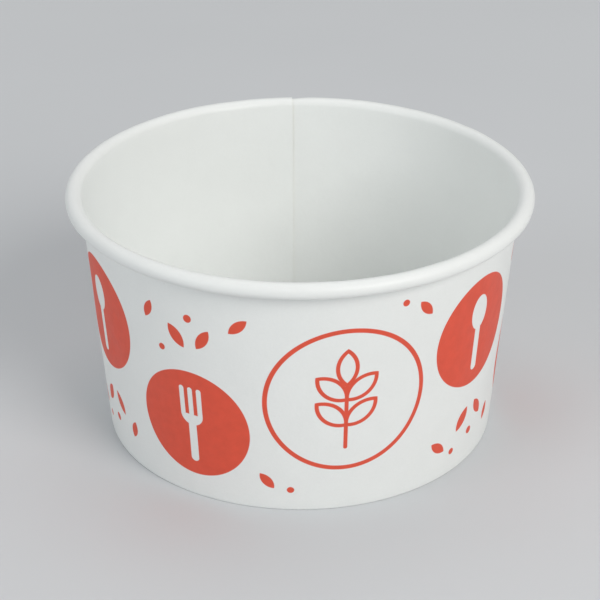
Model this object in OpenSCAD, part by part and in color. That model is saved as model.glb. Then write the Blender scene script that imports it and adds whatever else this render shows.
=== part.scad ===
// Paper bowl with a rolled rim, a lapped side seam and a recessed base.
// The side wall is one sheet of coated board. It is folded in and up at the foot as a hem,
// lapped over itself at the seam and rolled outwards at the rim. The base is the second piece,
// a disc with a turned-down skirt that sits in the hem, against the wall.
// Millimetres, +Z up, with the origin at the centre of the ring that the bowl stands on.

/* [Bowl] */
// Outer diameter over the rolled rim
rim_d = 98; // [92:0.5:130]
// Outer diameter at the foot, over the fold
foot_d = 84.2; // [70:0.2:90]
// Height from the table to the top of the rim
bowl_h = 54.5; // [36:0.5:100]
// Thickness of the wall's board
board_t = 0.35; // [0.25:0.01:0.5]

/* [Rolled rim] */
// Width of the roll
curl_w = 3.4; // [2.8:0.1:5]
// Air between one turn of the roll and the next
curl_gap = 0.12; // [0.05:0.01:0.25]
// Angle of the tail that is tucked up inside the roll
curl_tuck = 75; // [30:1:120]

/* [Base and foot] */
// Thickness of the base's board
base_t = 0.3; // [0.2:0.01:0.45]
// Clear height under the base
base_recess = 7.7; // [4:0.1:16]
// Inside radius of the bend from the disc into the skirt
base_bend_r = 0.5; // [0.3:0.05:0.8]
// From the top edge of the hem up to the underside of the disc
hem_gap = 1.3; // [1:0.1:2.5]
// From the start of the fold up to the lower edge of the skirt
skirt_gap = 0.3; // [0.1:0.05:1]
// Glue line on each face of the skirt
glue_t = 0.02; // [0.01:0.01:0.06]
// Width of the ring that is pressed flat under the fold
foot_flat = 0.5; // [0.3:0.05:0.7]

/* [Side seam] */
// Width of the glued lap
lap_w = 7; // [4:0.5:12]
// Direction of the seam, from +X towards +Y
seam_dir = 97; // [0:1:359]
// How far below the wall's face the lap starts to rise
lap_bite = 0.03; // [0.02:0.01:0.06]

/* [Hidden] */
$fn = 120;
bend_steps = 16;

// The fold goes round the skirt: its outer radius and its centre
fold_r = board_t + glue_t + base_t / 2;
fold_c = [foot_d / 2 - fold_r, sqrt(fold_r ^ 2 - (foot_flat / 2) ^ 2)];

// The roll's outer and inner radius, how much they shrink in a turn, and the roll's centre
curl_r = curl_w / 2;
curl_in_r = curl_r - board_t;
curl_step = board_t + curl_gap;
curl_c = [rim_d / 2 - curl_r, bowl_h - curl_r];

// The wall runs straight from the outside of the fold to the inside of the roll, smooth at both:
// its length, its lean from upright, and the point where its outer face leaves the fold
span = curl_c - fold_c;
wall_l = sqrt(span * span - (fold_r + curl_in_r) ^ 2);
lean = atan2(span.x, span.y) - atan2(fold_r + curl_in_r, wall_l);
foot = fold_c + fold_r * [cos(lean), -sin(lean)];

// The radius at height z of a face that lies depth inside the wall's outer face
function radius_at(depth, z) = foot.x + (z - foot.y) * tan(lean) - depth / cos(lean);

// Points on a bend, without the first of them where skip is 1
function bend(centre, r, from, to, skip = 0) = [
    for (i = [skip : bend_steps])
        let (a = from + (to - from) * i / bend_steps) centre + r * [cos(a), sin(a)]
];

function reversed(points) = [for (i = [len(points) - 1 : -1 : 0]) points[i]];

// The face of the wall's sheet that is depth below its printed side, from the hem's edge round the
// fold, up the wall and round the roll. X is outwards from the wall and Y is up along it.
function sheet_face(depth) = concat(
    [[depth - 2 * fold_r, (base_recess - hem_gap - fold_c.y) / cos(lean)]],
    bend([-fold_r, 0], fold_r - depth, 180, 360),
    bend([curl_in_r, wall_l], curl_in_r + depth, 180, 0),
    bend([curl_in_r + curl_step / 2, wall_l], curl_in_r - curl_step / 2 + depth, 0, -180, 1),
    bend([curl_in_r, wall_l], curl_in_r - curl_step + depth, 180, 180 - curl_tuck, 1)
);

// Leans a section that is drawn against the wall's outer face
module along_wall() {
    translate(foot) rotate(-lean) children();
}

// The lap: the sheet's outer edge, which leaves the wall on a straight line and then lies on it
module seam_lap() {
    start = foot_flat;
    end = wall_l - curl_r / 2;
    rise_deg = acos(foot.x / (foot.x + board_t));
    lap_deg = lap_w / foot.x * 180 / PI;
    reach = 2 * bowl_h;
    rotate([0, 0, seam_dir - rise_deg - lap_deg / 2]) difference() {
        rotate_extrude(angle = rise_deg + lap_deg)
            along_wall() translate([-board_t / 2, start]) square([1.5 * board_t, end - start]);
        translate([foot.x, 0, foot.y]) rotate([0, lean, 0])
            translate([-lap_bite, -reach / 2, -reach / 2]) cube(reach);
    }
}

// The wall: the sheet turned about the axis and pressed flat where it stands, with the seam's lap
module side_wall() {
    color("whitesmoke") {
        rotate_extrude() intersection() {
            along_wall() polygon(concat(sheet_face(0), reversed(sheet_face(board_t))));
            square([rim_d, 2 * bowl_h]);
        }
        seam_lap();
    }
}

// The base: a flat disc whose edge is bent down into a skirt that lies against the wall
module base_disc() {
    bend_z = base_recess - base_bend_r;
    bend_c = [radius_at(board_t + glue_t + base_t + base_bend_r, bend_z), bend_z];
    skirt_z = fold_c.y + skirt_gap;
    color("white") rotate_extrude() polygon(concat(
        [[0, base_recess]],
        bend(bend_c, base_bend_r, 90, -lean),
        [for (depth = [base_t, 0]) [radius_at(board_t + glue_t + depth, skirt_z), skirt_z]],
        bend(bend_c, base_bend_r + base_t, -lean, 90),
        [[0, base_recess + base_t]]
    ));
}

side_wall();
base_disc();
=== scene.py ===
import math

import bmesh
import bpy
import numpy
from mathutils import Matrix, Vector, kdtree


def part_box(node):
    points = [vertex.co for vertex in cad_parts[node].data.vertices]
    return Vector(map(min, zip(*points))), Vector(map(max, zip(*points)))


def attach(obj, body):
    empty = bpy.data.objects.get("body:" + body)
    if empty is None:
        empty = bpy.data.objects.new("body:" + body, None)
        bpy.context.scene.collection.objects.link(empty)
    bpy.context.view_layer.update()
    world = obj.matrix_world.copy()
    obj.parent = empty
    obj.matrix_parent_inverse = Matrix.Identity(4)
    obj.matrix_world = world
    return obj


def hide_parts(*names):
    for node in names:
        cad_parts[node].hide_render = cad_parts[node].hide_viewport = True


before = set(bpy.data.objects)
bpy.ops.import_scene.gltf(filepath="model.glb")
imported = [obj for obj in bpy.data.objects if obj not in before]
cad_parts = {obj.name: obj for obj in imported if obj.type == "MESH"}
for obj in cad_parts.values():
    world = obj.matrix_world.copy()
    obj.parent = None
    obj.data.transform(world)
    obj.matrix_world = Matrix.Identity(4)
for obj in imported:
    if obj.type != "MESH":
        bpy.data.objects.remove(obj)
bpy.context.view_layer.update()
mm = 0.001
print("frame loaded:", sorted(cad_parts))


# the sheet that the wall is made of, in mm, as it leaves the die
wall = {
    "rimRadius": round(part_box("side_wall")[1].x / mm, 2),
    "height": round(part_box("side_wall")[1].z / mm, 2),
    "footRadius": 42.1,
    "board": 0.35,
    "rollWidth": 3.4,
    "rollGap": 0.12,      # air between the turns of the roll
    "rollTuck": 75.0,     # degrees of tail tucked up inside the roll
    "footFlat": 0.5,      # ring pressed flat under the fold
    "hemTop": 6.4,        # height of the hem's cut edge
    "lap": 7.0,           # width of the glued side seam
    "seamDir": 97.0,      # degrees from +X towards +Y
    "glue": 0.02,
    "hemRows": 6,         # faces along each stretch of the section
    "foldRows": 12,
    "sideRows": 26,
    "rollRows": (16, 12, 5),
    "columns": 384,       # round the wall, in whole ribs
    "rampColumns": 8,     # of the end that climbs on to the start
    "lapColumns": 8,      # and lies over it
    "wholeColumns": 1.5,  # columns of the lap that keep the whole roll
    "ribDepth": 0.13,     # ribs that the sealing wheel presses into the hem
    "ribColumns": 4,
    "plainRows": 1,       # rows left smooth at the hem's edge and above the fold
    "tuckedRows": 5,      # rows of the roll that the lapped end still follows
    "wave": 0.4,          # how unevenly the board stands
    "waveSize": 26.0,
    "waveLow": (1.0, 12.0),     # heights above the base over which the wave sets in
    "waveHigh": (14.0, 5.0),    # depths below the rim over which it ends
    "rollWave": 0.14,     # how unevenly the board is rolled
    "rollWaveSize": 9.0,
    "rollWaveRows": (-1, 4),    # rows from the roll's start over which that sets in
}

# the punched disc, in mm
base = {
    "board": 0.3,
    "top": round(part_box("base_disc")[1].z / mm, 2),
    "bendRadius": 0.5,
    "skirtGap": 0.3,      # from the fold's middle up to the skirt's cut edge
    "rings": 16,          # faces along the disc, its bend and the skirt
    "bendRows": 8,
    "skirtRows": 5,
    "columns": 192,
    "weld": 0.002,        # points closer than this become one
    "wave": 0.16,
    "waveSize": 22.0,
    "waveEdge": (14.0, 2.0),    # distances inside the bend over which the wave ends
}

creaseAngle = math.radians(38)      # sharper edges stay crisp


def arc(centre, radius, fromDeg, toDeg, steps, outward):
    # points on a bend with the direction that the printed side faces there
    made = []
    for step in range(steps + 1):
        turn = math.radians(fromDeg + (toDeg - fromDeg) * step / steps)
        facing = Vector((math.cos(turn), math.sin(turn)))
        made.append((Vector(centre) + radius * facing, facing * outward))
    return made


def straight(start, end, facing, steps):
    start, end, facing = Vector(start), Vector(end), Vector(facing)
    return [(start.lerp(end, step / steps), facing) for step in range(steps + 1)]


def joined(*stretches):
    path = list(stretches[0])
    for stretch in stretches[1:]:
        path += stretch[1:]     # each stretch starts where the last one ends
    return path


# the section's main points, worked out as for the solids
rollRadius = wall["rollWidth"] / 2
rollInside = rollRadius - wall["board"]
rollStep = wall["board"] + wall["rollGap"]
skirtDepth = wall["board"] + wall["glue"] + base["board"] / 2      # from the wall's face to mid skirt
foldRadius = skirtDepth     # the fold goes round the skirt
foldAt = Vector((wall["footRadius"] - foldRadius,
                 math.sqrt(foldRadius ** 2 - (wall["footFlat"] / 2) ** 2)))
rollAt = Vector((wall["rimRadius"] - rollRadius, wall["height"] - rollRadius))
span = rollAt - foldAt
wallLength = math.sqrt(span.length_squared - (foldRadius + rollInside) ** 2)
lean = math.atan2(span.x, span.y) - math.atan2(foldRadius + rollInside, wallLength)
footAt = foldAt + foldRadius * Vector((math.cos(lean), -math.sin(lean)))


def leanOut(point):
    # from the wall's own directions, outwards and up along it, to radius and height
    return Vector((point.x * math.cos(lean) + point.y * math.sin(lean),
                   point.y * math.cos(lean) - point.x * math.sin(lean)))


def wallRadiusAt(depth, height):
    return footAt.x + (height - footAt.y) * math.tan(lean) - depth / math.cos(lean)


def sheetSection():
    # middle of the board from the hem's edge round the fold, up the wall and round the roll
    mid = wall["board"] / 2
    hemLength = (wall["hemTop"] - foldAt.y) / math.cos(lean)
    hemX = mid - 2 * foldRadius
    hem = straight((hemX, hemLength), (hemX, 0), (-1, 0), wall["hemRows"])
    fold = arc((-foldRadius, 0), foldRadius - mid, 180, 360, wall["foldRows"], 1)
    side = straight((-mid, 0), (-mid, wallLength), (1, 0), wall["sideRows"])
    overTop, under, tuck = wall["rollRows"]
    tuckEnd = 180 - wall["rollTuck"]
    roll = joined(
        arc((rollInside, wallLength), rollInside + mid, 180, 0, overTop, -1),
        arc((rollInside + rollStep / 2, wallLength), rollInside - rollStep / 2 + mid, 0, -180, under, -1),
        arc((rollInside, wallLength), rollInside - rollStep + mid, 180, tuckEnd, tuck, -1))
    path = []
    for point, facing in joined(hem, fold, side, roll):
        place = footAt + leanOut(point)
        place.y = max(place.y, mid)     # pressed flat where the bowl stands
        path.append((place, leanOut(facing)))
    # where the hem, the fold and the side end on the path
    hemEnd = len(hem) - 1
    foldEnd = hemEnd + len(fold) - 1
    return path, hemEnd, foldEnd, foldEnd + len(side) - 1


def turned(point, degrees):
    spin = math.radians(degrees)
    return Vector((point.x * math.cos(spin), point.x * math.sin(spin), point.y)) * mm


def drawSection(name, points):
    # one vertex, drawn out point by point
    bpy.ops.object.select_all(action="DESELECT")
    bpy.ops.mesh.primitive_plane_add(size=mm, calc_uvs=False)
    piece = bpy.context.object
    piece.name = piece.data.name = name
    bpy.ops.object.mode_set(mode="EDIT")
    bpy.ops.mesh.select_mode(type="VERT")
    bpy.ops.mesh.select_all(action="SELECT")
    bpy.ops.mesh.merge(type="CENTER")
    bpy.ops.transform.translate(value=points[0])
    for before, after in zip(points, points[1:]):
        bpy.ops.mesh.extrude_vertices_move(TRANSFORM_OT_translate={"value": after - before})
    bpy.ops.mesh.select_all(action="SELECT")
    return piece


def spinOn(degrees, steps):
    # with no window a positive angle turns clockwise
    bpy.ops.mesh.spin(steps=steps, angle=-math.radians(degrees), center=(0, 0, 0), axis=(0, 0, 1))


def addWave(piece, name, depth, size, weights):
    # slight unevenness of formed board
    group = piece.vertex_groups.new(name=name)
    for index, weight in weights:
        group.add([index], weight, "REPLACE")
    cloud = bpy.data.textures.new(name, "CLOUDS")
    cloud.noise_scale = size * mm
    cloud.noise_depth = 1
    wave = piece.modifiers.new(name, "DISPLACE")
    wave.texture = cloud
    wave.texture_coords = "LOCAL"
    wave.strength = depth * mm
    wave.mid_level = 0.5
    wave.vertex_group = name
    bpy.ops.object.modifier_apply(modifier=name)


def thicken(piece, board, front, back, edge):
    for material in (front, back, edge):
        piece.data.materials.append(material)
    thick = piece.modifiers.new("board", "SOLIDIFY")
    thick.thickness = board * mm
    thick.offset = 0
    thick.use_even_offset = True
    thick.material_offset = 1        # the back of the sheet
    thick.material_offset_rim = 2    # its cut edges
    bpy.ops.object.modifier_apply(modifier="board")
    bpy.ops.object.shade_smooth_by_angle(angle=creaseAngle)


def faceAway(piece, test):
    # turns the sheet's faces so that the one nearest the test point looks along its direction
    bpy.ops.object.mode_set(mode="OBJECT")
    place, facing = test
    nearest = min(piece.data.polygons, key=lambda face: (face.center - place).length)
    if nearest.normal.dot(facing) < 0:
        bpy.ops.object.mode_set(mode="EDIT")
        bpy.ops.mesh.select_all(action="SELECT")
        bpy.ops.mesh.flip_normals()
        bpy.ops.object.mode_set(mode="OBJECT")


def smoothStep(low, high, value):
    share = min(max((value - low) / (high - low), 0), 1)
    return share * share * (3 - 2 * share)


def makeSideWall():
    path, hemEnd, foldEnd, sideEnd = sheetSection()
    rise = math.degrees(math.acos(footAt.x / (footAt.x + wall["board"])))
    lapTurn = math.degrees(wall["lap"] / footAt.x)
    seamStart = wall["seamDir"] - lapTurn / 2
    piece = drawSection("bowlWall", [turned(place, seamStart) for place, facing in path])
    finder = kdtree.KDTree(len(path))
    for index, (place, facing) in enumerate(path):
        finder.insert((*place, 0), index)
    finder.balance()

    # once round, then the end that climbs on to the start and lies over it
    spinOn(360 - rise, wall["columns"])
    bpy.ops.mesh.hide(unselected=True)
    spinOn(rise, wall["rampColumns"])
    spinOn(lapTurn, wall["lapColumns"])
    mesh = bmesh.from_edit_mesh(piece.data)
    around = mesh.verts.layers.float.new("around")      # degrees from the sheet's first edge
    along = mesh.verts.layers.float.new("along")        # step on the path from the hem's edge
    pitch = (360 - rise) / wall["columns"]
    tucked = 360 + wall["wholeColumns"] * lapTurn / wall["lapColumns"]
    lift = wall["board"] + wall["glue"]
    ribRows = range(wall["plainRows"], hemEnd - wall["plainRows"] + 1)
    ribTurn = 360 / (wall["ribColumns"] * pitch)        # degrees of rib wave to a degree of wall
    slack = 1       # degrees, so that the sheet's first edge isn't taken for its last
    for vert in mesh.verts:
        bearing = math.degrees(math.atan2(vert.co.y, vert.co.x))
        index = finder.find((vert.co.xy.length / mm, vert.co.z / mm, 0))[1]
        turn = (bearing - seamStart + slack) % 360 - slack
        if not vert.hide:
            turn = (turn + rise + slack) % 360 - slack + 360 - rise
            climbed = math.radians(min(turn - 360 + rise, rise))
            climb = min(footAt.x / math.cos(climbed) - footAt.x, lift)
            shift = turned(path[index][1] * climb, bearing)
            shift.z = max(shift.z, wall["board"] / 2 * mm - vert.co.z)
            vert.co += shift
        else:
            # the first end is pressed up into the fold by the end that lies under it
            under = 1 - smoothStep(lapTurn, 2 * lapTurn, turn)
            vert.co.z = max(vert.co.z, (wall["board"] / 2 + under * lift) * mm)
        vert[around], vert[along] = turn, index
        if index in ribRows:
            rib = wall["ribDepth"] * (1 - math.cos(math.radians(turn * ribTurn))) / 2
            vert.co.xy *= 1 - rib / path[index][0].x
        vert.select_set(turn > tucked and index > sideEnd + wall["tuckedRows"])
    bmesh.update_edit_mesh(piece.data)
    bpy.ops.mesh.delete(type="VERT")        # the lapped end stops just inside the roll
    bpy.ops.mesh.reveal(select=False)

    halfway = wall["height"] / 2
    front = Vector((0, -wallRadiusAt(0, halfway), halfway)) * mm
    faceAway(piece, (front, Vector((0, -1, 0))))
    weights = []
    lowFrom, lowTo = wall["waveLow"]
    highFrom, highTo = wall["waveHigh"]
    for vert in piece.data.vertices:
        height = vert.co.z / mm
        free = smoothStep(base["top"] + lowFrom, base["top"] + lowTo, height)
        held = smoothStep(wall["height"] - highFrom, wall["height"] - highTo, height)
        weights.append((vert.index, free * (1 - held)))
    addWave(piece, "boardWave", wall["wave"], wall["waveSize"], weights)
    weights = []
    rollFrom, rollTo = wall["rollWaveRows"]
    for index, row in enumerate(piece.data.attributes["along"].data):
        weights.append((index, smoothStep(sideEnd + rollFrom, sideEnd + rollTo, row.value)))
    addWave(piece, "rollWave", wall["rollWave"], wall["rollWaveSize"], weights)
    thicken(piece, wall["board"], printedBoard, coatedBoard, cutEdge)
    unrollSheet(piece, foldEnd, sideEnd, len(path) - 1)
    print("wall sheet:", len(piece.data.polygons), "faces")
    return piece


# how the unrolled sheet lies on a square map, in shares of its side: the printed face gets the most room
mapRoom = {
    "left": 0.006,
    "wide": 0.988,
    "halfGap": 0.008,
    "print": (0.006, 0.362),        # bottom and height of the first half, the second lies above it
    "printStep": 0.368,
    "back": (0.744, 0.168),
    "rollBack": (0.918, 0.030),
    "rollFront": (0.954, 0.006),
    "hemFront": (0.966, 0.016),
    "hemBack": (0.988, 0.004),
    "edge": (0.995, 0.003),
}


def unrollSheet(piece, foldEnd, sideEnd, pathEnd):
    mesh = piece.data
    corner = numpy.empty(len(mesh.loops), int)
    mesh.loops.foreach_get("vertex_index", corner)
    sizes = numpy.empty(len(mesh.polygons), int)
    mesh.polygons.foreach_get("loop_total", sizes)
    side = numpy.empty(len(mesh.polygons), int)
    mesh.polygons.foreach_get("material_index", side)
    face = numpy.repeat(numpy.arange(len(sizes)), sizes)
    place = {}
    for name in ("around", "along"):
        values = numpy.empty(len(mesh.vertices))
        mesh.attributes[name].data.foreach_get("value", values)
        place[name] = values[corner]
        place[name + "Face"] = (numpy.bincount(face, place[name]) / sizes)[face]
    turn = place["around"].max()
    share = place["around"] / turn
    late = place["aroundFace"] > turn / 2
    half = (share - 0.5 * late) * 2
    spots = numpy.empty((len(corner), 2))

    def lay(chosen, low, high, room, across, left=mapRoom["left"], wide=mapRoom["wide"]):
        bottom, tall = room
        up = (place["along"] - low) / (high - low)
        spots[chosen] = numpy.stack([left + wide * across, bottom + tall * up], 1)[chosen]

    front, back = side[face] == 0, side[face] == 1
    onHem = place["alongFace"] < foldEnd
    onRoll = place["alongFace"] > sideEnd
    onSide = ~onHem & ~onRoll
    bottom, tall = mapRoom["print"]
    halfWide = (mapRoom["wide"] - mapRoom["halfGap"]) / 2
    for second in (False, True):
        here = onSide & (late == second)
        lay(here & front, foldEnd, sideEnd, (bottom + second * mapRoom["printStep"], tall), half)
        left = mapRoom["left"] + second * (halfWide + mapRoom["halfGap"])
        lay(here & back, foldEnd, sideEnd, mapRoom["back"], half, left, halfWide)
    lay(onRoll & back, sideEnd, pathEnd, mapRoom["rollBack"], share)
    lay(onRoll & front, sideEnd, pathEnd, mapRoom["rollFront"], share)
    lay(onHem & front, 0, foldEnd, mapRoom["hemFront"], share)
    lay(onHem & back, 0, foldEnd, mapRoom["hemBack"], share)
    # cut edges share one small strip, a corner of each face on a corner of the strip
    edge = ~front & ~back
    step = numpy.arange(len(corner)) - numpy.repeat(numpy.cumsum(sizes) - sizes, sizes)
    bottom, tall = mapRoom["edge"]
    spots[edge, 0] = mapRoom["left"] + numpy.isin(step, (1, 2))[edge] * tall
    spots[edge, 1] = bottom + (step > 1)[edge] * tall
    layer = mesh.uv_layers.new(name="OFBake")
    layer.data.foreach_set("uv", spots.ravel())


def makeBaseDisc():
    mid = base["board"] / 2
    flat = base["top"] - mid
    bendZ = base["top"] - base["board"] - base["bendRadius"]
    bendX = wallRadiusAt(wall["board"] + wall["glue"] + base["board"] + base["bendRadius"], bendZ)
    disc = straight((0, flat), (bendX, flat), (0, 1), base["rings"])
    bend = arc((bendX, bendZ), base["bendRadius"] + mid, 90, -math.degrees(lean), base["bendRows"], 1)
    skirtFoot = foldAt.y + base["skirtGap"]
    skirtEnd = (wallRadiusAt(skirtDepth, skirtFoot), skirtFoot)
    skirt = straight(bend[-1][0], skirtEnd, bend[-1][1], base["skirtRows"])
    path = joined(disc, bend, skirt)
    piece = drawSection("bowlBase", [turned(place, 0) for place, facing in path])
    spinOn(360, base["columns"])
    bpy.ops.mesh.select_all(action="SELECT")
    bpy.ops.mesh.remove_doubles(threshold=base["weld"] * mm)
    bpy.ops.mesh.normals_make_consistent(inside=False)
    faceAway(piece, (Vector((0, 0, flat * mm)), Vector((0, 0, 1))))
    weights = []
    waveFrom, waveTo = base["waveEdge"]
    for vert in piece.data.vertices:
        radius = vert.co.xy.length / mm
        weights.append((vert.index, 1 - smoothStep(bendX - waveFrom, bendX - waveTo, radius)))
    addWave(piece, "discWave", base["wave"], base["waveSize"], weights)
    thicken(piece, base["board"], coatedBoard, baseBack, cutEdge)
    print("base disc:", len(piece.data.polygons), "faces")
    return piece


def newGroup(name, inputs, outputs):
    tree = bpy.data.node_groups.new(name, "ShaderNodeTree")
    for label, kind in inputs.items():
        tree.interface.new_socket(name=label, in_out="INPUT", socket_type="NodeSocket" + kind)
    for label, kind in outputs.items():
        tree.interface.new_socket(name=label, in_out="OUTPUT", socket_type="NodeSocket" + kind)
    return tree, tree.nodes.new("NodeGroupInput").outputs, tree.nodes.new("NodeGroupOutput").inputs


def feed(tree, socket, value):
    if isinstance(value, bpy.types.NodeSocket):
        tree.links.new(value, socket)
    else:
        socket.default_value = value


def calc(tree, how, *values):
    node = tree.nodes.new("ShaderNodeMath")
    node.operation = how
    for socket, value in zip(node.inputs, values):
        feed(tree, socket, value)
    return node.outputs[0]


def vectorCalc(tree, how, *values, scale=None):
    node = tree.nodes.new("ShaderNodeVectorMath")
    node.operation = how
    for socket, value in zip(node.inputs, values):
        feed(tree, socket, value)
    if scale is not None:
        feed(tree, node.inputs["Scale"], scale)
    return node.outputs["Value" if how in ("LENGTH", "DOT_PRODUCT", "DISTANCE") else "Vector"]


def placeGroup(tree, group, **values):
    node = tree.nodes.new("ShaderNodeGroup")
    node.node_tree = group
    for label, value in values.items():
        feed(tree, node.inputs[label], value)
    return node.outputs


noiseRange = (0.3, 0.7)     # where nearly all of the noise lies


def noise(tree, position, scale, detail, roughness):
    node = tree.nodes.new("ShaderNodeTexNoise")
    feed(tree, node.inputs["Vector"], position)
    feed(tree, node.inputs["Scale"], scale)
    node.inputs["Detail"].default_value = detail
    node.inputs["Roughness"].default_value = roughness
    return node.outputs["Fac"]


def remap(tree, value, fromLow, fromHigh, toLow, toHigh):
    node = tree.nodes.new("ShaderNodeMapRange")
    for socket, given in zip(node.inputs, (value, fromLow, fromHigh, toLow, toHigh)):
        feed(tree, socket, given)
    return node.outputs[0]


def mixColor(tree, share, first, second):
    node = tree.nodes.new("ShaderNodeMix")
    node.data_type = "RGBA"
    colours = [socket for socket in node.inputs if socket.type == "RGBA"]
    feed(tree, node.inputs["Factor"], share)
    feed(tree, colours[0], first)
    feed(tree, colours[1], second)
    return next(socket for socket in node.outputs if socket.type == "RGBA")


# shapes of the print: each gives the distance in mm from a point on the unrolled wall to its edge
def makeSpotShape():
    tree, given, made = newGroup("spotShape", {"Point": "Vector", "Centre": "Vector", "Radius": "Float"},
                                 {"Distance": "Float"})
    away = vectorCalc(tree, "DISTANCE", given["Point"], given["Centre"])
    feed(tree, made["Distance"], calc(tree, "SUBTRACT", away, given["Radius"]))
    return tree


def makeBarShape():
    tree, given, made = newGroup("barShape", {"Point": "Vector", "From": "Vector", "To": "Vector",
                                              "Radius": "Float"}, {"Distance": "Float"})
    reach = vectorCalc(tree, "SUBTRACT", given["Point"], given["From"])
    line = vectorCalc(tree, "SUBTRACT", given["To"], given["From"])
    along = calc(tree, "DIVIDE", vectorCalc(tree, "DOT_PRODUCT", reach, line),
                 vectorCalc(tree, "DOT_PRODUCT", line, line))
    along = remap(tree, along, 0, 1, 0, 1)
    off = vectorCalc(tree, "SUBTRACT", reach, vectorCalc(tree, "SCALE", line, scale=along))
    feed(tree, made["Distance"], calc(tree, "SUBTRACT", vectorCalc(tree, "LENGTH", off), given["Radius"]))
    return tree


def makeLeafShape():
    # two equal arcs that meet at the tips
    tree, given, made = newGroup("leafShape", {"Point": "Vector", "Centre": "Vector", "Turn": "Float",
                                               "Length": "Float", "Width": "Float"}, {"Distance": "Float"})
    turn = tree.nodes.new("ShaderNodeVectorRotate")
    turn.rotation_type = "Z_AXIS"
    feed(tree, turn.inputs["Vector"], vectorCalc(tree, "SUBTRACT", given["Point"], given["Centre"]))
    feed(tree, turn.inputs["Angle"], given["Turn"])
    own = tree.nodes.new("ShaderNodeSeparateXYZ")
    feed(tree, own.inputs[0], turn.outputs[0])
    half = calc(tree, "MULTIPLY", given["Length"], 0.5)
    thin = calc(tree, "MULTIPLY", given["Width"], 0.5)
    bow = calc(tree, "DIVIDE", calc(tree, "MULTIPLY_ADD", half, half, calc(tree, "MULTIPLY", thin, thin)),
               given["Width"])
    side = calc(tree, "ADD", calc(tree, "ABSOLUTE", own.outputs["X"]), calc(tree, "SUBTRACT", bow, thin))
    away = calc(tree, "SQRT", calc(tree, "MULTIPLY_ADD", side, side,
                                   calc(tree, "MULTIPLY", own.outputs["Y"], own.outputs["Y"])))
    feed(tree, made["Distance"], calc(tree, "SUBTRACT", away, bow))
    return tree


def makeWallSpot(repeats):
    # the point on the unrolled wall, in mm from the nearest motif's middle
    tree, given, made = newGroup("wallSpot", {"Position": "Vector", "Bearing": "Float", "Height": "Float"},
                                 {"Point": "Vector"})
    part = tree.nodes.new("ShaderNodeSeparateXYZ")
    feed(tree, part.inputs[0], given["Position"])
    bearing = calc(tree, "ARCTAN2", part.outputs["Y"], part.outputs["X"])
    halfTurn = math.pi / repeats
    off = calc(tree, "WRAP", calc(tree, "SUBTRACT", bearing, given["Bearing"]), halfTurn, -halfTurn)
    level = vectorCalc(tree, "MULTIPLY", given["Position"], (1 / mm, 1 / mm, 0))
    join = tree.nodes.new("ShaderNodeCombineXYZ")
    feed(tree, join.inputs["X"], calc(tree, "MULTIPLY", off, vectorCalc(tree, "LENGTH", level)))
    up = calc(tree, "MULTIPLY_ADD", part.outputs["Z"], 1 / mm, calc(tree, "MULTIPLY", given["Height"], -1))
    feed(tree, join.inputs["Y"], calc(tree, "DIVIDE", up, math.cos(lean)))
    feed(tree, made["Point"], join.outputs[0])
    return tree


# the print, in mm on the unrolled wall: low spot with a fork, ring with a sprig, high spot with a spoon
printing = {
    "repeats": 3,
    "edge": 0.07,         # how softly the ink ends
    # direction in degrees and height of each motif's middle
    "forkAt": (-119.7, 18.0),
    "sprigAt": (-78.0, 26.5),
    "spoonAt": (-36.3, 33.0),
    "spotRadius": 12.5,
    "handleFoot": -8.4,
    "handleRadius": 0.9,
    "tineTop": 8.2,
    "tineFoot": 2.2,
    "tinePitch": 2.0,
    "tineRadius": 0.55,
    "spoonMiddle": 4.4,
    "spoonLength": 7.8,
    "spoonWidth": 5.4,
    "ringRadius": 16.2,
    "ringLine": 1.0,
    "sprigLine": 0.85,
    "leafLength": 8.0,
    "leafWidth": 3.9,
    "leafTurn": math.radians(48.0),
    "leafPairs": (-5.8, 0.2),
    "topLeaf": 7.6,
    "stemFoot": -11.2,
    # loose leaves from the ring's middle as place, lean in degrees, length and width
    "leaves": ((-35.0, 11.8, -38, 6.0, 2.6), (-29.0, 12.2, 30, 5.4, 2.4), (-21.6, 16.6, 48, 5.0, 2.2),
               (-42.0, 15.8, 20, 4.4, 2.0), (29.4, -14.2, 36, 6.0, 2.6), (35.4, -13.8, -32, 5.4, 2.4),
               (22.0, -18.2, -50, 5.0, 2.2), (40.4, -17.8, 20, 4.4, 2.0), (16.4, 18.0, -40, 4.6, 2.1),
               (-15.6, -19.4, -40, 4.6, 2.1)),
    # and dots as place and radius
    "dots": ((-32.2, 16.4, 0.9), (-38.6, 8.0, 0.75), (32.6, -18.6, 0.9), (11.6, 20.4, 0.75),
             (-10.8, -21.4, 0.75), (26.4, -21.0, 0.75)),
}


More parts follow.
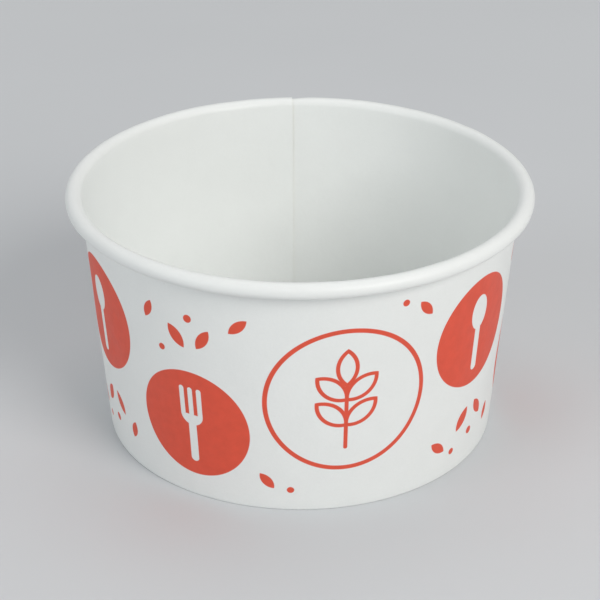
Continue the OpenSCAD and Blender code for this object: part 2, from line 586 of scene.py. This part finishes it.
def makeBowlPrint(design, spot, bar, leaf, wallSpot):
    tree, given, made = newGroup("bowlPrint", {"Position": "Vector"}, {"Ink": "Float"})

    def nearest(shapes):
        total = shapes[0]
        for shape in shapes[1:]:
            total = calc(tree, "MINIMUM", total, shape)
        return total

    def outline(shape, line):
        return calc(tree, "SUBTRACT", calc(tree, "ABSOLUTE", shape), line / 2)

    def pointFrom(place):
        bearing, height = place
        return placeGroup(tree, wallSpot, Position=given["Position"], Bearing=math.radians(bearing),
                          Height=height)["Point"]

    def disc(point, radius, x=0, y=0):
        return placeGroup(tree, spot, Point=point, Centre=(x, y, 0), Radius=radius)["Distance"]

    def rod(point, x, foot, top, radius):
        return placeGroup(tree, bar, Point=point, From=(x, foot, 0), To=(x, top, 0),
                          Radius=radius)["Distance"]

    def blade(point, x, y, turn, length, width):
        return placeGroup(tree, leaf, Point=point, Centre=(x, y, 0), Turn=turn, Length=length,
                          Width=width)["Distance"]

    def solidSpot(point, whiteShapes):
        field = disc(point, design["spotRadius"])
        return calc(tree, "MAXIMUM", field, calc(tree, "MULTIPLY", nearest(whiteShapes), -1))

    # fork: a rounded root, three tines and a handle
    point = pointFrom(design["forkAt"])
    tineFoot, tinePitch = design["tineFoot"], design["tinePitch"]
    height = tree.nodes.new("ShaderNodeSeparateXYZ")
    feed(tree, height.inputs[0], point)
    root = disc(point, tinePitch + design["tineRadius"], 0, tineFoot)
    fork = [calc(tree, "MAXIMUM", root, calc(tree, "SUBTRACT", height.outputs["Y"], tineFoot))]
    for step in (-1, 0, 1):
        fork.append(rod(point, step * tinePitch, tineFoot, design["tineTop"], design["tineRadius"]))
    fork.append(rod(point, 0, design["handleFoot"], tineFoot - tinePitch, design["handleRadius"]))
    inked = [solidSpot(point, fork)]

    # spoon: an oval and a handle that runs up into it
    point = pointFrom(design["spoonAt"])
    middle = design["spoonMiddle"]
    squash = design["spoonWidth"] / design["spoonLength"]
    fromBowl = vectorCalc(tree, "SUBTRACT", point, (0, middle, 0))
    squeezed = vectorCalc(tree, "MULTIPLY", fromBowl, (1, squash, 1))
    spoon = [disc(squeezed, design["spoonWidth"] / 2)]
    spoon.append(rod(point, 0, design["handleFoot"], middle, design["handleRadius"]))
    inked.append(solidSpot(point, spoon))

    # the ring with its sprig, which is the same on both sides of the stem
    point = pointFrom(design["sprigAt"])
    inked.append(outline(disc(point, design["ringRadius"]), design["ringLine"]))
    mirrored = vectorCalc(tree, "MAXIMUM", point, vectorCalc(tree, "MULTIPLY", point, (-1, 1, 1)))
    turn, length, width = design["leafTurn"], design["leafLength"], design["leafWidth"]
    reach = length / 2
    sprig = [blade(point, 0, design["topLeaf"], 0, length, width)]
    for y in design["leafPairs"]:
        sprig.append(blade(mirrored, reach * math.sin(turn), y + reach * math.cos(turn), turn, length, width))
    for shape in sprig:
        inked.append(outline(shape, design["sprigLine"]))
    inked.append(rod(point, 0, design["stemFoot"], design["topLeaf"] - reach, design["sprigLine"] / 2))

    # the loose leaves and dots
    for x, y, radius in design["dots"]:
        inked.append(disc(point, radius, x, y))
    for x, y, tilt, length, width in design["leaves"]:
        inked.append(blade(point, x, y, math.radians(tilt), length, width))
    ink = remap(tree, nearest(inked), -design["edge"], design["edge"], 1, 0)

    # the hem inside the foot has no print
    part = tree.nodes.new("ShaderNodeSeparateXYZ")
    feed(tree, part.inputs[0], given["Position"])
    radius = vectorCalc(tree, "LENGTH", vectorCalc(tree, "MULTIPLY", given["Position"], (1, 1, 0)))
    upright = calc(tree, "MULTIPLY_ADD", part.outputs["Z"], -math.tan(lean), radius)
    outside = calc(tree, "GREATER_THAN", upright, (footAt.x - foldRadius) * mm)
    feed(tree, made["Ink"], calc(tree, "MULTIPLY", ink, outside))
    return tree


# what all the boards share
paper = {
    "fibre": 1900.0,            # noise scales to the metre
    "felt": 620.0,
    "cloud": 150.0,
    "fibreNoise": (3, 0.6),     # detail and roughness of each noise
    "feltNoise": (2, 0.5),
    "cloudNoise": (3, 0.55),
    "fibreTooth": 0.45,         # height of the fibres against the felt's mark
    "roughSpread": 0.22,
    "toothDepth": 0.06,         # mm
}


def makePaperGrain():
    # fibres, the felt's mark and the cloudy formation of the board
    tree, given, made = newGroup("paperGrain", {"Position": "Vector", "Fibre": "Float", "Felt": "Float",
                                                "Cloud": "Float", "Depth": "Float"},
                                 {"Tone": "Float", "Gloss": "Float", "Height": "Float"})
    fibre = noise(tree, given["Position"], given["Fibre"], *paper["fibreNoise"])
    felt = noise(tree, given["Position"], given["Felt"], *paper["feltNoise"])
    cloud = noise(tree, given["Position"], given["Cloud"], *paper["cloudNoise"])
    both = calc(tree, "ADD", calc(tree, "MULTIPLY", fibre, 0.5), calc(tree, "MULTIPLY", cloud, 0.5))
    deviation = calc(tree, "MULTIPLY", calc(tree, "SUBTRACT", both, 0.5), given["Depth"])
    feed(tree, made["Tone"], calc(tree, "ADD", deviation, 1))
    feed(tree, made["Gloss"], calc(tree, "SUBTRACT", cloud, 0.5))
    feed(tree, made["Height"], calc(tree, "MULTIPLY_ADD", fibre, paper["fibreTooth"], felt))
    return tree


# what the boards look like, with colours as the eye sees them, 0 to 255
boards = {
    "printedBoard": {"colour": (237, 239, 237), "rough": 0.54, "mottle": 0.09, "tooth": 0.7, "shine": 0.4},
    "coatedBoard": {"colour": (238, 240, 238), "rough": 0.44, "mottle": 0.06, "tooth": 0.55, "shine": 0.45},
    "baseBack": {"colour": (231, 232, 228), "rough": 0.62, "mottle": 0.12, "tooth": 0.9, "shine": 0.35},
    "cutEdge": {"colour": (226, 222, 210), "rough": 0.8, "mottle": 0.3, "tooth": 1.0, "shine": 0.25},
}

inkFilm = {
    "colour": (226, 84, 60),
    "patches": (420.0, 4, 0.6),     # scale, detail and roughness of the uneven ink
    "density": (0.95, 1.04),
    "rough": -0.06,                 # smoother than the bare board
}


def linear(colour):
    # the sRGB curve, from what the eye sees to the light that a shader takes
    made = []
    for part in colour:
        share = part / 255
        made.append(share / 12.92 if share <= 0.04045 else ((share + 0.055) / 1.055) ** 2.4)
    return (*made, 1)


def startMaterial(name):
    material = bpy.data.materials.new(name)
    material.use_nodes = True
    tree = material.node_tree
    shader = tree.nodes["Principled BSDF"]
    where = tree.nodes.new("ShaderNodeTexCoord").outputs["Object"]
    return material, tree, shader, where


def toned(tree, colour, tone):
    node = tree.nodes.new("ShaderNodeVectorMath")
    node.operation = "SCALE"
    feed(tree, node.inputs[0], colour if isinstance(colour, bpy.types.NodeSocket) else colour[:3])
    feed(tree, node.inputs["Scale"], tone)
    return node.outputs[0]


def boardMaterial(name, grain, bowlPrint=None):
    board = boards[name]
    material, tree, shader, where = startMaterial(name)
    sheet = placeGroup(tree, grain, Position=where, Fibre=paper["fibre"], Felt=paper["felt"],
                       Cloud=paper["cloud"], Depth=board["mottle"])
    surface = toned(tree, linear(board["colour"]), sheet["Tone"])
    rough = calc(tree, "MULTIPLY_ADD", sheet["Gloss"], paper["roughSpread"], board["rough"])
    if bowlPrint:
        inked = placeGroup(tree, bowlPrint, Position=where)["Ink"]
        patches = noise(tree, where, *inkFilm["patches"])
        density = remap(tree, patches, *noiseRange, *inkFilm["density"])
        surface = mixColor(tree, inked, surface, toned(tree, linear(inkFilm["colour"]), density))
        rough = calc(tree, "MULTIPLY_ADD", inked, inkFilm["rough"], rough)
    feed(tree, shader.inputs["Base Color"], surface)
    feed(tree, shader.inputs["Roughness"], rough)
    shader.inputs["Specular IOR Level"].default_value = board["shine"]
    tooth = tree.nodes.new("ShaderNodeBump")
    tooth.inputs["Strength"].default_value = board["tooth"]
    tooth.inputs["Distance"].default_value = paper["toothDepth"] * mm
    feed(tree, tooth.inputs["Height"], sheet["Height"])
    feed(tree, shader.inputs["Normal"], tooth.outputs[0])
    return material


grain = makePaperGrain()
bowlPrint = makeBowlPrint(printing, makeSpotShape(), makeBarShape(), makeLeafShape(),
                          makeWallSpot(printing["repeats"]))
printedBoard = boardMaterial("printedBoard", grain, bowlPrint)
coatedBoard = boardMaterial("coatedBoard", grain)
baseBack = boardMaterial("baseBack", grain)
cutEdge = boardMaterial("cutEdge", grain)
print("finishes ready")

bowlWall = makeSideWall()
bowlBase = makeBaseDisc()
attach(bowlWall, "root")
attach(bowlBase, "root")
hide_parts("side_wall")
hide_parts("base_disc")
print("bowl dressed")


# the room: camera as in the photograph, pale floor, soft lamps
studio = {
    "camera": (0, -0.333, 0.202),
    "lookAt": (0, 0, 0.026),
    "lens": 104,
    "clipStart": 0.01,
    "floorRadius": 4.0,
    "floorSides": 96,
    "floorColour": (211, 213, 215),
    "floorPatches": (9.0, 2, 0.5),
    "floorTone": (0.985, 1.01),
    "floorRough": 0.75,
    "floorShine": 0.2,
    # place, width in metres, watts and colour
    "lamps": {
        "rightLamp": ((0.68, -0.8, 0.72), 0.7, 8.2, (1.0, 0.985, 0.96)),
        "leftLamp": ((-0.95, -0.6, 0.5), 0.8, 3.2, (0.93, 0.97, 1.0)),
        "topLamp": ((0.0, 0.35, 1.1), 0.9, 2.6, (1.0, 1.0, 1.0)),
    },
    "skyColour": (0.97, 0.985, 1.0, 1),
    "worldLight": 0.36,
    "backdrop": 0.62,
    "fadeFrom": 0.12,     # metres from the bowl at which the floor starts to turn into the backdrop
    "fadeTo": 1.2,
}


def aim(thing, place, target):
    thing.location = place
    thing.rotation_euler = (Vector(target) - Vector(place)).to_track_quat("-Z", "Y").to_euler()


def makeFloor():
    bpy.ops.mesh.primitive_circle_add(vertices=studio["floorSides"], radius=studio["floorRadius"],
                                      fill_type="NGON")
    floor = bpy.context.object
    floor.name = "floor"
    material, tree, shader, where = startMaterial("floorPaper")
    patches = noise(tree, where, *studio["floorPatches"])
    tone = remap(tree, patches, *noiseRange, *studio["floorTone"])
    feed(tree, shader.inputs["Base Color"], toned(tree, linear(studio["floorColour"]), tone))
    shader.inputs["Roughness"].default_value = studio["floorRough"]
    shader.inputs["Specular IOR Level"].default_value = studio["floorShine"]
    glow = tree.nodes.new("ShaderNodeEmission")
    glow.inputs["Color"].default_value = studio["skyColour"]
    glow.inputs["Strength"].default_value = studio["backdrop"]
    far = remap(tree, vectorCalc(tree, "LENGTH", where), studio["fadeFrom"], studio["fadeTo"], 0, 1)
    seen = tree.nodes.new("ShaderNodeLightPath").outputs["Is Camera Ray"]
    blend = tree.nodes.new("ShaderNodeMixShader")
    feed(tree, blend.inputs[0], calc(tree, "MULTIPLY", far, seen))
    feed(tree, blend.inputs[1], shader.outputs[0])
    feed(tree, blend.inputs[2], glow.outputs[0])
    feed(tree, tree.nodes["Material Output"].inputs["Surface"], blend.outputs[0])
    floor.data.materials.append(material)


def makeLamps():
    for name, (place, width, watts, colour) in studio["lamps"].items():
        light = bpy.data.lights.new(name, "AREA")
        light.shape = "DISK"
        light.size = width
        light.energy = watts
        light.color = colour
        holder = bpy.data.objects.new(name, light)
        bpy.context.scene.collection.objects.link(holder)
        aim(holder, place, studio["lookAt"])


def makeWorld():
    world = bpy.data.worlds.new("studio")
    bpy.context.scene.world = world
    world.use_nodes = True
    tree = world.node_tree
    sky = tree.nodes["Background"]
    path = tree.nodes.new("ShaderNodeLightPath")
    seen = calc(tree, "MAXIMUM", path.outputs["Is Camera Ray"], path.outputs["Is Glossy Ray"])
    feed(tree, sky.inputs["Strength"], remap(tree, seen, 0, 1, studio["worldLight"], studio["backdrop"]))
    sky.inputs["Color"].default_value = studio["skyColour"]


def makeCamera():
    camera = bpy.data.cameras.new("camera")
    camera.lens = studio["lens"]
    camera.clip_start = studio["clipStart"]
    holder = bpy.data.objects.new("camera", camera)
    bpy.context.scene.collection.objects.link(holder)
    aim(holder, studio["camera"], studio["lookAt"])
    bpy.context.scene.camera = holder


makeFloor()
makeLamps()
makeWorld()
makeCamera()
bpy.context.scene.view_settings.view_transform = "Standard"
print("studio ready")
